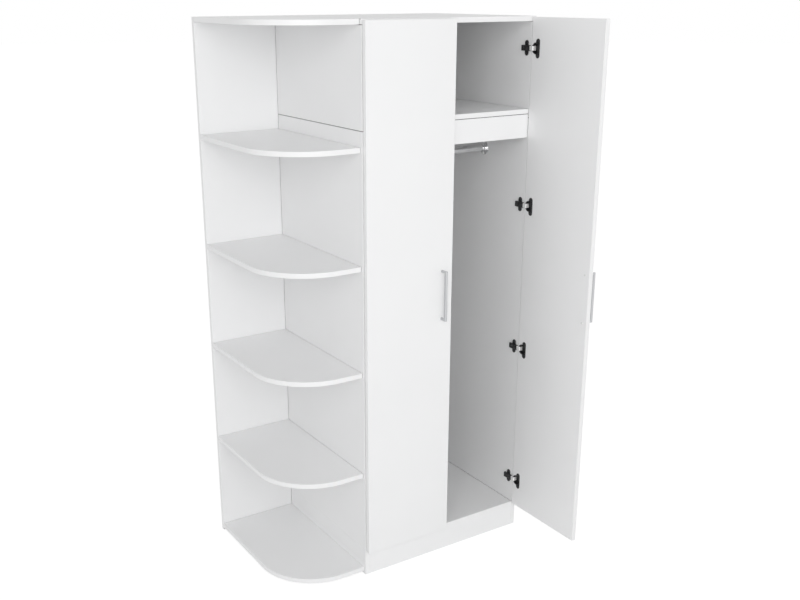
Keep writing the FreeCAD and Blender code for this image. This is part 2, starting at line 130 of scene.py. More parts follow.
class Shader:
    """A material under construction: one principled surface fed by object-space patterns."""

    # Fractal noise seldom leaves this range, so tones and gloss are spread over it.
    PATTERN_LOW = 0.3
    PATTERN_HIGH = 0.7

    def __init__(self, name: str) -> None:
        """Start an empty material.

        Args:
            name: The material's name.
        """
        self.material = bpy.data.materials.new(name)
        self.material.use_nodes = True
        self.tree = self.material.node_tree
        self.tree.nodes.clear()
        self.output = self.node("ShaderNodeOutputMaterial")
        self.surface = self.node("ShaderNodeBsdfPrincipled")
        self.link(self.surface.outputs["BSDF"], self.output.inputs["Surface"])
        self.coords = self.node("ShaderNodeTexCoord").outputs["Object"]

    def node(self, kind: str, **inputs: Any) -> bpy.types.ShaderNode:
        """Add a node.

        Args:
            kind: The node's type.
            inputs: Values for its sockets, by name with underscores for spaces.

        Returns:
            The new node.
        """
        made = self.tree.nodes.new(kind)
        for name, value in inputs.items():
            made.inputs[name.replace("_", " ")].default_value = value
        return made

    def link(self, start: bpy.types.NodeSocket, end: bpy.types.NodeSocket) -> None:
        """Join two sockets."""
        self.tree.links.new(start, end)

    def noise(self, scale: float, detail: float, stretch: Triple) -> bpy.types.NodeSocket:
        """Fractal noise on object coordinates.

        Args:
            scale: Pattern repeats in a metre.
            detail: Octaves of finer noise.
            stretch: How much the pattern is packed along X, Y and Z.

        Returns:
            The noise's value socket.
        """
        mapping = self.node("ShaderNodeMapping", Scale=stretch)
        self.link(self.coords, mapping.inputs["Vector"])
        pattern = self.node("ShaderNodeTexNoise", Scale=scale, Detail=detail)
        self.link(mapping.outputs["Vector"], pattern.inputs["Vector"])
        return pattern.outputs["Fac"]

    def colour(self, pattern: bpy.types.NodeSocket, low: Colour, high: Colour) -> None:
        """Spread the base colour between two tones.

        Args:
            pattern: The noise that chooses the tone.
            low: Tone at the pattern's low end.
            high: Tone at its high end.
        """
        ramp = self.node("ShaderNodeValToRGB")
        first, last = ramp.color_ramp.elements
        first.position = self.PATTERN_LOW
        last.position = self.PATTERN_HIGH
        first.color = (*low, 1.0)
        last.color = (*high, 1.0)
        self.link(pattern, ramp.inputs["Fac"])
        self.link(ramp.outputs["Color"], self.surface.inputs["Base Color"])

    def roughness(self, pattern: bpy.types.NodeSocket, low: float, high: float) -> None:
        """Spread the roughness between two values.

        Args:
            pattern: The noise that chooses the value.
            low: Roughness at the pattern's low end.
            high: Roughness at its high end.
        """
        spread = self.node(
            "ShaderNodeMapRange",
            From_Min=self.PATTERN_LOW, From_Max=self.PATTERN_HIGH, To_Min=low, To_Max=high,
        )
        self.link(pattern, spread.inputs["Value"])
        self.link(spread.outputs["Result"], self.surface.inputs["Roughness"])

    def bump(self, pattern: bpy.types.NodeSocket, strength: float, depth: float) -> None:
        """Raise the surface by a pattern.

        Args:
            pattern: The noise that gives the height.
            strength: Share of the full effect.
            depth: Height of the relief.
        """
        relief = self.node("ShaderNodeBump", Strength=strength, Distance=depth)
        self.link(pattern, relief.inputs["Height"])
        self.link(relief.outputs["Normal"], self.surface.inputs["Normal"])


@dataclass(frozen=True)
class Finish:
    """A surface finish with a tone that drifts, an uneven gloss and a fine relief."""

    TONE_OCTAVES = 4.0
    GLOSS_OCTAVES = 3.0
    RELIEF_OCTAVES = 2.0
    RELIEF_STRENGTH = 0.35
    # Patches of gloss are this many times as wide as the grain.
    GLOSS_PATCH = 8.0

    name: str
    slot: str
    low: Colour
    high: Colour
    gloss: tuple[float, float]
    drift: float
    grain: float
    relief: float
    metallic: float = 0.0
    stretch: Triple = (1.0, 1.0, 1.0)
    specular: float = 0.5

    @property
    def material(self) -> bpy.types.Material:
        """The finish's material, made at first use."""
        return bpy.data.materials.get(self.name) or self.make()

    def make(self) -> bpy.types.Material:
        """Build the material's nodes.

        Returns:
            The new material.
        """
        shader = Shader(self.name)
        shader.surface.inputs["Metallic"].default_value = self.metallic
        shader.surface.inputs["Specular IOR Level"].default_value = self.specular
        tone = shader.noise(self.drift, self.TONE_OCTAVES, self.stretch)
        shader.colour(tone, self.low, self.high)
        patches = shader.noise(self.grain / self.GLOSS_PATCH, self.GLOSS_OCTAVES, self.stretch)
        shader.roughness(patches, *self.gloss)
        grain = shader.noise(self.grain, self.RELIEF_OCTAVES, self.stretch)
        shader.bump(grain, self.RELIEF_STRENGTH, self.relief)
        shader.material.diffuse_color = (*self.high, 1.0)
        return shader.material


MELAMINE = Finish(
    "satin_white_melamine", "white_board", (0.882, 0.884, 0.888), (0.900, 0.902, 0.905),
    gloss=(0.40, 0.50), drift=2.4, grain=620.0, relief=0.00005, specular=0.35,
)
EDGE_BAND = Finish(
    "white_edge_band", "white_board", (0.884, 0.886, 0.889), (0.902, 0.904, 0.906),
    gloss=(0.34, 0.44), drift=7.0, grain=900.0, relief=0.00003, specular=0.40,
)
# Near-black coat for the eased arrises where two boards meet: painted shade for the shadow in the hairline
# seam, not a colour of the boards.
PAINTED_SEAM_SHADE = Finish(
    "painted_seam_shade", "white_board", (0.090, 0.088, 0.085), (0.150, 0.147, 0.142),
    gloss=(0.70, 0.82), drift=40.0, grain=600.0, relief=0.00005, specular=0.20,
)
HARDBOARD_FACE = Finish(
    "white_hardboard_face", "white_hardboard", (0.862, 0.863, 0.862), (0.886, 0.887, 0.885),
    gloss=(0.55, 0.68), drift=5.0, grain=480.0, relief=0.00006, specular=0.30,
)
HARDBOARD_BACK = Finish(
    "raw_hardboard_back", "white_hardboard", (0.258, 0.166, 0.096), (0.318, 0.212, 0.126),
    gloss=(0.70, 0.85), drift=150.0, grain=750.0, relief=0.00020, specular=0.25,
)
BEECH = Finish(
    "bare_beech", "beech", (0.560, 0.390, 0.230), (0.720, 0.550, 0.360),
    gloss=(0.55, 0.70), drift=60.0, grain=900.0, relief=0.00010, stretch=(0.4, 1.0, 1.0),
)
BLACK_STEEL = Finish(
    "satin_black_steel", "black_steel", (0.014, 0.014, 0.015), (0.026, 0.026, 0.028),
    gloss=(0.34, 0.48), drift=90.0, grain=2600.0, relief=0.00003,
)
NICKEL = Finish(
    "plated_nickel", "nickel", (0.900, 0.898, 0.893), (0.940, 0.938, 0.933),
    gloss=(0.30, 0.42), drift=55.0, grain=1500.0, relief=0.00002, metallic=0.25,
)
ZINC = Finish(
    "zinc_plate", "zinc_screw", (0.720, 0.722, 0.716), (0.800, 0.802, 0.796),
    gloss=(0.30, 0.44), drift=140.0, grain=2000.0, relief=0.00002, metallic=1.0,
)
ALUMINIUM = Finish(
    "brushed_aluminium", "satin_aluminium", (0.520, 0.528, 0.540), (0.600, 0.608, 0.620),
    gloss=(0.28, 0.40), drift=260.0, grain=1400.0, relief=0.00002, metallic=1.0,
    stretch=(1.0, 1.0, 0.03),
)
CHROME = Finish(
    "polished_chrome", "chrome", (0.790, 0.792, 0.800), (0.836, 0.838, 0.846),
    gloss=(0.05, 0.11), drift=26.0, grain=420.0, relief=0.00001, metallic=1.0,
)
GREY_PLASTIC = Finish(
    "grey_moulded_plastic", "grey_plastic", (0.215, 0.216, 0.222), (0.272, 0.273, 0.280),
    gloss=(0.45, 0.58), drift=45.0, grain=1200.0, relief=0.00004,
)


def settle(piece: bpy.types.Object, body: Body, finish: Finish, *nodes: str) -> None:
    """Hang a finished piece on its body and hide the CAD nodes that it stands for.

    Args:
        piece: The finished object.
        body: The body that it rides on.
        finish: Not used.
        nodes: The CAD nodes that it replaces.
    """
    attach(piece, body.value)
    if nodes:
        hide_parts(*nodes)
    LOG.info("%s: %d faces on %s", piece.name, len(piece.data.polygons), body.value)


def repaint(frame: Frame, name: str, finish: Finish) -> None:
    """Give a CAD node that stays as it is a better material.

    Args:
        frame: The loaded frame.
        name: The CAD node.
        finish: Its finish.
    """
    node = frame["nodes"][name]
    for slot in node.material_slots:
        slot.material = finish.material
    LOG.info("%s: painted %s", name, finish.name)


def new_piece(name: str, mesh: bpy.types.Mesh, *finishes: Finish) -> bpy.types.Object:
    """Put a mesh into the scene at the origin.

    Args:
        name: The object's name.
        mesh: Its mesh, with its place in the vertices.
        finishes: Finishes for its material slots, or none where the mesh has its own.

    Returns:
        The new object.
    """
    mesh.name = name
    for finish in finishes:
        mesh.materials.append(finish.material)
    piece = bpy.data.objects.new(name, mesh)
    bpy.context.scene.collection.objects.link(piece)
    return piece


def evaluated_mesh(holder: bpy.types.Object) -> bpy.types.Mesh:
    """Turn an object with modifiers into a plain mesh and drop the object.

    Args:
        holder: The object, which is removed.

    Returns:
        The mesh that its modifiers give.
    """
    graph = bpy.context.evaluated_depsgraph_get()
    mesh = bpy.data.meshes.new_from_object(holder.evaluated_get(graph), depsgraph=graph)
    old = holder.data
    bpy.data.objects.remove(holder)
    bpy.data.meshes.remove(old)
    return mesh


def islands(source: bpy.types.Mesh, decimals: int = 5) -> list[np.ndarray]:
    """The separate solids of a mesh, in the order of their middles.

    Args:
        source: A mesh of one or more closed solids, left as it is.
        decimals: The decimals of a metre that count in that order.

    Returns:
        The corner points of each solid, as rows.
    """
    bm = bmesh.new()
    bm.from_mesh(source)
    bmesh.ops.remove_doubles(bm, verts=bm.verts, dist=WELD)
    waiting = set(bm.verts)
    found = []
    while waiting:
        front = [waiting.pop()]
        points = []
        while front:
            vert = front.pop()
            points.append(tuple(vert.co))
            for edge in vert.link_edges:
                other = edge.other_vert(vert)
                if other in waiting:
                    waiting.remove(other)
                    front.append(other)
        found.append(np.array(points))
    bm.free()
    return sorted(found, key=lambda rows: tuple(np.round(rows.mean(axis=0), decimals)))


@dataclass(frozen=True)
class Softening:
    """How the arrises of a piece are eased."""

    radius: float
    shortest: float
    steps: int = 2
    roundness: float = 0.5
    sharp: float = math.radians(50.0)
    flat: float = math.radians(0.5)

    def ease(self, bm: bmesh.types.BMesh) -> None:
        """Bevel the long sharp edges of a welded mesh.

        Args:
            bm: The mesh, which is changed.
        """
        sharp = [e for e in bm.edges if e.is_manifold and e.calc_face_angle(0.0) > self.sharp]
        long_edges = [e for e in sharp if e.calc_length() > self.shortest]
        bmesh.ops.bevel(
            bm, geom=long_edges, offset=self.radius, segments=self.steps, profile=self.roundness,
            affect="EDGES", clamp_overlap=True, material=-1,
        )

    def copy_of(self, source: bpy.types.Mesh) -> bpy.types.Mesh:
        """A welded, softened and smoothly shaded copy of a mesh.

        Args:
            source: The mesh to copy, left as it is.

        Returns:
            The new mesh.
        """
        bm = bmesh.new()
        bm.from_mesh(source)
        bmesh.ops.remove_doubles(bm, verts=bm.verts, dist=WELD)
        bmesh.ops.dissolve_limit(bm, angle_limit=self.flat, verts=bm.verts, edges=bm.edges)
        self.ease(bm)
        for face in bm.faces:
            face.smooth = True
            face.material_index = 0
        mesh = bpy.data.meshes.new("softened")
        bm.to_mesh(mesh)
        bm.free()
        mesh.set_sharp_from_angle(angle=self.sharp)
        holder = bpy.data.objects.new("softening", mesh)
        bpy.context.scene.collection.objects.link(holder)
        weighting = holder.modifiers.new("flat_faces", "WEIGHTED_NORMAL")
        weighting.keep_sharp = True
        return evaluated_mesh(holder)


BOARD_ARRIS = Softening(radius=0.0010, shortest=0.009)
METAL_ARRIS = Softening(radius=0.0002, shortest=0.0008)
HANDLE_ARRIS = Softening(radius=0.0006, shortest=0.0015)
ROUND_BOARD_ARRIS = Softening(radius=0.0010, shortest=0.001, flat=math.radians(0.01))


class GrowthTree:
    """A geometry node tree under construction, with named inputs."""

    def __init__(self, name: str) -> None:
        """Start a tree that takes and gives geometry.

        Args:
            name: The tree's name.
        """
        self.tree = bpy.data.node_groups.new(name, "GeometryNodeTree")
        self.tree.interface.new_socket("Geometry", in_out="INPUT", socket_type="NodeSocketGeometry")
        self.tree.interface.new_socket("Geometry", in_out="OUTPUT", socket_type="NodeSocketGeometry")
        self.start = self.tree.nodes.new("NodeGroupInput")
        self.end = self.tree.nodes.new("NodeGroupOutput")

    def takes(self, name: str, kind: str) -> bpy.types.NodeSocket:
        """Add a named input.

        Args:
            name: The input's name.
            kind: Float, Int, Vector or Material.

        Returns:
            The socket that gives its value inside the tree.
        """
        self.tree.interface.new_socket(name, in_out="INPUT", socket_type=f"NodeSocket{kind}")
        return self.start.outputs[name]

    def add(self, kind: str, feeds: dict[Any, Any] | None = None, **settings: Any) -> bpy.types.Node:
        """Add a node and fill its inputs.

        Args:
            kind: The node's type.
            feeds: Socket name or number to a value, a socket or a list of sockets.
            settings: Properties of the node itself.

        Returns:
            The new node.
        """
        made = self.tree.nodes.new(kind)
        for name, value in settings.items():
            setattr(made, name, value)
        for key, value in (feeds or {}).items():
            for item in value if isinstance(value, list) else [value]:
                if isinstance(item, bpy.types.NodeSocket):
                    self.tree.links.new(item, made.inputs[key])
                else:
                    made.inputs[key].default_value = item
        return made

    def math(self, operation: str, first: Any, second: Any) -> bpy.types.NodeSocket:
        """The result of a sum, product or comparison of two values."""
        return self.add("ShaderNodeMath", {0: first, 1: second}, operation=operation).outputs[0]

    def close(self, geometry: bpy.types.NodeSocket, material: bpy.types.NodeSocket) -> None:
        """End the tree with real geometry in one material.

        Args:
            geometry: What the tree has made.
            material: The material input.
        """
        real = self.add("GeometryNodeRealizeInstances", {"Geometry": geometry})
        painted = self.add("GeometryNodeSetMaterial", {"Geometry": real.outputs[0], "Material": material})
        self.tree.links.new(painted.outputs[0], self.end.inputs[0])

    def grow(self, seedling: bpy.types.Mesh, values: dict[str, Any]) -> bpy.types.Mesh:
        """Run the tree on a mesh.

        Args:
            seedling: The mesh that the tree starts from, which is used up.
            values: A value for each named input.

        Returns:
            The plain mesh that it gives.
        """
        holder = bpy.data.objects.new("seedling", seedling)
        modifier = holder.modifiers.new("growth", "NODES")
        modifier.node_group = self.tree
        for item in self.tree.interface.items_tree:
            if item.in_out == "INPUT" and item.name in values:
                modifier[item.identifier] = values[item.name]
        bpy.context.scene.collection.objects.link(holder)
        return evaluated_mesh(holder)


def lathe(profile: list[tuple[float, float]], centre: Vector, axis: Vector, steps: int) -> bpy.types.Mesh:
    """Turn a closed profile about an axis.

    Args:
        profile: Distances along the axis and radii, in order round the section.
        centre: The axis point at distance 0.
        axis: The unit direction of the axis.
        steps: Flats in a full turn.

    Returns:
        The closed round mesh.
    """
    bm = bmesh.new()
    side = axis.orthogonal().normalized()
    ring = [bm.verts.new(centre + axis * along + side * radius) for along, radius in profile]
    edges = [bm.edges.new((a, b)) for a, b in zip(ring, ring[1:] + ring[:1])]
    bmesh.ops.spin(
        bm, geom=ring + edges, cent=centre, axis=axis, angle=math.tau, steps=steps, use_merge=True,
    )
    bmesh.ops.remove_doubles(bm, verts=bm.verts, dist=WELD)
    on_axis = [edge for edge in bm.edges if edge.is_wire]
    bmesh.ops.delete(bm, geom=on_axis, context="EDGES")
    bmesh.ops.recalc_face_normals(bm, faces=bm.faces)
    for face in bm.faces:
        face.smooth = True
    mesh = bpy.data.meshes.new("turned")
    bm.to_mesh(mesh)
    bm.free()
    mesh.set_sharp_from_angle(angle=TURNED_EDGE)
    return mesh


@dataclass(frozen=True)
class BoardDress:
    """How a board is dressed: white faces, edge bands, and a dark hairline of painted shade where boards
    meet.

    A face within reach of a neighbour touches it. The largest part of a unit normal is over square on a
    flat face and under it on an eased arris, and broad tells a board's faces from its edges.
    """

    neighbours: dict[str, tuple[Any, Any]]
    reach: float = 0.0008
    square: float = 0.97
    broad: float = 0.70

    @classmethod
    def among(cls, names: tuple[str, ...]) -> "BoardDress":
        """The dress of boards that may touch one another."""
        return cls({name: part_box(name) for name in names})

    def dress(self, mesh: bpy.types.Mesh, name: str) -> bpy.types.Object:
        """Make a board's mesh a piece with its three finishes.

        Args:
            mesh: The board's softened mesh.
            name: Its CAD node.

        Returns:
            The dressed board.
        """
        piece = new_piece(f"{name}_dressed", mesh, MELAMINE, EDGE_BAND, PAINTED_SEAM_SHADE)
        across = max(mesh.polygons, key=lambda face: face.area).normal.copy()
        for face in mesh.polygons:
            eased = max(abs(part) for part in face.normal) < self.square
            # Painted shade: an eased arris that lies on another board gets the dark seam coat.
            if eased and self.meets(name, face.center):
                face.material_index = Coat.SEAM_SHADE
            elif abs(face.normal.dot(across)) > self.broad:
                face.material_index = Coat.FACE
            else:
                face.material_index = Coat.EDGE
        return piece

    def meets(self, name: str, point: Vector) -> bool:
        """Whether a point of a board lies on another board.

        Args:
            name: The board's own CAD node.
            point: The point.

        Returns:
            True where another board is within reach.
        """
        for other, (low, high) in self.neighbours.items():
            inside = all(a - self.reach < at < b + self.reach for a, at, b in zip(low, point, high))
            if inside and other != name:
                return True
        return False


PLAIN_DRESS = BoardDress({})


@dataclass
class BoardSet:
    """Flat melamine boards of one body, with eased arrises and edge bands."""

    frame: Frame
    body: Body
    names: tuple[str, ...]
    dressing: BoardDress

    def build(self) -> None:
        """Make and dress every board."""
        for name in self.names:
            mesh = BOARD_ARRIS.copy_of(self.frame["nodes"][name].data)
            settle(self.dressing.dress(mesh, name), self.body, MELAMINE, name)


@dataclass
class HardboardBacks:
    """The two hardboard sheets behind the carcass and the nails that hold them."""

    frame: Frame
    names: tuple[str, ...] = ("lower_back", "upper_back")
    nail_spacing: float = 0.125
    nail_inset: float = 0.008
    nail_radius: float = 0.0019
    nail_proud: float = 0.0005
    nail_crown: float = 0.72
    nail_sides: int = 10

    def build(self) -> None:
        """Make both sheets, white inside and raw behind, with their nails."""
        tree = self.nail_tree()
        for name in self.names:
            mesh = BOARD_ARRIS.copy_of(self.frame["nodes"][name].data)
            piece = new_piece(f"{name}_dressed", mesh, HARDBOARD_FACE, HARDBOARD_BACK)
            for face in mesh.polygons:
                face.material_index = SheetSide.INNER if face.normal.y < 0.0 else SheetSide.OUTER
            settle(piece, Body.CARCASS, HARDBOARD_FACE, name)
            self.nail(tree, name)

    def nail_tree(self) -> GrowthTree:
        """A rectangle of flat nail heads.

        Returns:
            The tree, with inputs for the rectangle, the spacing and the heads.
        """
        grow = GrowthTree("nail_rectangle")
        width = grow.takes("Width", "Float")
        height = grow.takes("Height", "Float")
        spacing = grow.takes("Spacing", "Float")
        radius = grow.takes("Head radius", "Float")
        proud = grow.takes("Head height", "Float")
        place = grow.takes("Place", "Vector")
        material = grow.takes("Material", "Material")
        outline = grow.add("GeometryNodeCurvePrimitiveQuadrilateral", {"Width": width, "Height": height})
        row = grow.add(
            "GeometryNodeCurveToPoints", {"Curve": outline.outputs[0], "Length": spacing}, mode="LENGTH",
        )
        crown = grow.math("MULTIPLY", radius, self.nail_crown)
        head = grow.add("GeometryNodeMeshCone", {
            "Vertices": self.nail_sides, "Radius Top": crown, "Radius Bottom": radius, "Depth": proud,
        })
        heads = grow.add("GeometryNodeInstanceOnPoints", {
            "Points": row.outputs[0], "Instance": head.outputs[0],
        })
        upright = (-math.pi / 2, 0.0, 0.0)
        stood = grow.add("GeometryNodeTransform", {
            "Geometry": heads.outputs[0], "Rotation": upright, "Translation": place,
        })
        grow.close(stood.outputs[0], material)
        return grow

    def nail(self, tree: GrowthTree, name: str) -> None:
        """Nail one sheet round its edges.

        Args:
            tree: The nail tree.
            name: The sheet's CAD node.
        """
        low, high = (Vector(corner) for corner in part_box(name))
        middle = (low + high) / 2
        values = {
            "Width": high.x - low.x - 2 * self.nail_inset,
            "Height": high.z - low.z - 2 * self.nail_inset,
            "Spacing": self.nail_spacing,
            "Head radius": self.nail_radius,
            "Head height": self.nail_proud,
            "Place": (middle.x, high.y, middle.z),
            "Material": ZINC.material,
        }
        mesh = tree.grow(bpy.data.meshes.new("nail_seedling"), values)
        settle(new_piece(f"{name}_nails", mesh), Body.CARCASS, ZINC)


@dataclass
class EndUnit:
    """The open end unit: its quarter-round boards and the glides under the lowest one."""

    frame: Frame
    dressing: BoardDress
    radius: float = 0.200
    round_steps: int = 48
    glide_steps: int = 40
    glide_chamfer: float = 0.0015
    glide_node: str = "corner_glides"

    def build(self) -> None:
        """Make the six boards and the glides."""
        tree = self.board_tree()
        for name in CORNER_BOARDS:
            settle(self.board(tree, name), Body.CARCASS, MELAMINE, name)
        self.glides()

    def board_tree(self) -> GrowthTree:
        """A board with one large round corner at its low X and low Y.

        Returns:
            The tree, with inputs for the board's sizes and place.
        """
        grow = GrowthTree("quarter_round_board")
        width = grow.takes("Width", "Float")
        depth = grow.takes("Depth", "Float")
        thick = grow.takes("Thickness", "Float")
        radius = grow.takes("Radius", "Float")
        steps = grow.takes("Steps", "Int")
        place = grow.takes("Place", "Vector")
        material = grow.takes("Material", "Material")
        outline = grow.add("GeometryNodeCurvePrimitiveQuadrilateral", {"Width": width, "Height": depth})
        where = grow.add("GeometryNodeInputPosition")
        parts = grow.add("ShaderNodeSeparateXYZ", {0: where.outputs[0]})
        at_free_end = grow.math("LESS_THAN", parts.outputs["X"], 0.0)
        at_front = grow.math("LESS_THAN", parts.outputs["Y"], 0.0)
        corner = grow.math("MULTIPLY", at_free_end, at_front)
        local_radius = grow.math("MULTIPLY", corner, radius)
        rounded = grow.add(
            "GeometryNodeFilletCurve",
            {"Curve": outline.outputs[0], "Count": steps, "Radius": local_radius}, mode="POLY",
        )
        face = grow.add("GeometryNodeFillCurve", {"Curve": rounded.outputs[0]}, mode="NGONS")
        body = grow.add("GeometryNodeExtrudeMesh", {
            "Mesh": face.outputs[0], "Offset Scale": thick, "Individual": False,
        })
        under = grow.add("GeometryNodeFlipFaces", {"Mesh": face.outputs[0]})
        both = grow.add("GeometryNodeJoinGeometry", {"Geometry": [body.outputs[0], under.outputs[0]]})
        closed = grow.add("GeometryNodeMergeByDistance", {"Geometry": both.outputs[0], "Distance": WELD})
        moved = grow.add("GeometryNodeTransform", {"Geometry": closed.outputs[0], "Translation": place})
        grow.close(moved.outputs[0], material)
        return grow

    def board(self, tree: GrowthTree, name: str) -> bpy.types.Object:
        """One quarter-round board in the place of its CAD node.

        Args:
            tree: The board tree.
            name: The CAD node.

        Returns:
            The dressed board.
        """
        low, high = (Vector(corner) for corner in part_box(name))
        middle = (low + high) / 2
        values = {
            "Width": high.x - low.x,
            "Depth": high.y - low.y,
            "Thickness": high.z - low.z,
            "Radius": self.radius,
            "Steps": self.round_steps,
            "Place": (middle.x, middle.y, low.z),
            "Material": MELAMINE.material,
        }
        plain = tree.grow(bpy.data.meshes.new("board_seedling"), values)
        mesh = ROUND_BOARD_ARRIS.copy_of(plain)
        bpy.data.meshes.remove(plain)
        return self.dressing.dress(mesh, name)

    def glides(self) -> None:
        """Turn the round pads under the lowest board."""
        node = self.glide_node
        bm = bmesh.new()
        for corners in islands(self.frame["nodes"][node].data):
            low = Vector(corners.min(axis=0))
            high = Vector(corners.max(axis=0))
            radius = (high.x - low.x) / 2
            tall = high.z - low.z
            inner = radius - self.glide_chamfer
            profile = [
                (0.0, 0.0), (0.0, inner), (self.glide_chamfer, radius), (tall, radius), (tall, 0.0),
            ]
            foot = Vector(((low.x + high.x) / 2, (low.y + high.y) / 2, low.z))
            pad = lathe(profile, foot, Vector((0.0, 0.0, 1.0)), self.glide_steps)
            bm.from_mesh(pad)
            bpy.data.meshes.remove(pad)
        mesh = bpy.data.meshes.new(node)
        bm.to_mesh(mesh)
        bm.free()
        settle(new_piece(f"{node}_dressed", mesh, GREY_PLASTIC), Body.CARCASS, GREY_PLASTIC, node)


@dataclass
class HangingRail:
    """The chromed hanging rod and its two sockets."""

    frame: Frame
    wall: float = 0.0012
    easing: float = 0.0003
    socket_length: float = 0.014
    socket_wall: float = 0.003
    socket_fit: float = 0.0002
    socket_base: float = 0.0025
    edge: float = 0.0006
    steps: int = 64

    def build(self) -> None:
        """Turn the tube and both sockets."""
        low, high = (Vector(corner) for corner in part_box("hanging_rod"))
        radius = (high.z - low.z) / 2
        length = high.x - low.x
        start = Vector((low.x, (low.y + high.y) / 2, (low.z + high.z) / 2))
        inner = radius - self.wall
        easing = self.easing
        tube = [
            (0.0, inner), (0.0, radius - easing), (easing, radius),
            (length - easing, radius), (length, radius - easing), (length, inner),
        ]
        mesh = lathe(tube, start, Vector((1.0, 0.0, 0.0)), self.steps)
        settle(new_piece("hanging_rod_dressed", mesh, CHROME), Body.CARCASS, CHROME, "hanging_rod")
        self.sockets(start, radius)

    def sockets(self, rod_start: Vector, rod_radius: float) -> None:
        """Turn the two sockets that hold the rod.

        Args:
            rod_start: The middle of the rod's left end.
            rod_radius: The rod's outer radius.
        """
        low, high = (Vector(corner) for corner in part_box("rod_sockets"))
        flange = (high.z - low.z) / 2
        hollow = rod_radius + self.socket_fit
        rim = hollow + self.socket_wall
        base, end, edge = self.socket_base, self.socket_length, self.edge
        profile = [
            (0.0, 0.0), (0.0, flange), (base - edge, flange), (base, flange - edge), (base, rim + edge),
            (base + edge, rim), (end - edge, rim), (end, rim - edge), (end, hollow),
            (base, hollow), (base, 0.0),
        ]
        bm = bmesh.new()
        for x, way in ((low.x, 1.0), (high.x, -1.0)):
            seat = Vector((x, rod_start.y, rod_start.z))
            cup = lathe(profile, seat, Vector((way, 0.0, 0.0)), self.steps)
            bm.from_mesh(cup)
            bpy.data.meshes.remove(cup)
        mesh = bpy.data.meshes.new("rod_sockets")
        bm.to_mesh(mesh)
        bm.free()
        settle(new_piece("rod_sockets_dressed", mesh, CHROME), Body.CARCASS, CHROME, "rod_sockets")


@dataclass
class DoorLeaf:
    """One door: its board with the hinge bores, and its bow handle."""

    frame: Frame
    hand: Hand

    def build(self) -> None:
        """Make the board and the handle."""
        BoardSet(self.frame, self.hand.door, (f"{self.hand.value}_door",), PLAIN_DRESS).build()
        name = f"{self.hand.value}_handle"
        mesh = HANDLE_ARRIS.copy_of(self.frame["nodes"][name].data)
        settle(new_piece(f"{name}_dressed", mesh, ALUMINIUM), self.hand.door, ALUMINIUM, name)


@dataclass
class HingeSet:
    """The four cup hinges of one door: plates, arms and necks on the side, cups in the door."""

    frame: Frame
    hand: Hand
    pieces: dict[str, Finish] = field(default_factory=lambda: {
        "hinge_plates": BLACK_STEEL,
        "hinge_arms": BLACK_STEEL,
        "hinge_necks": NICKEL,
        "hinge_cups": BLACK_STEEL,
    })

    def build(self) -> None:
        """Soften and paint the hinge pieces, and plate the pins."""
        for kind, finish in self.pieces.items():
            name = f"{self.hand.value}_{kind}"
            body = self.hand.door if kind == "hinge_cups" else Body.CARCASS
            mesh = METAL_ARRIS.copy_of(self.frame["nodes"][name].data)
            settle(new_piece(f"{name}_dressed", mesh, finish), body, finish, name)
        repaint(self.frame, f"{self.hand.value}_hinge_pins", NICKEL)


@dataclass(frozen=True)
class ScrewPlace:
    """Where one screw sits, which way its head points, and its sizes."""

    seat: Triple
    outward: Triple
    radius: float
    head: float
    shank: float


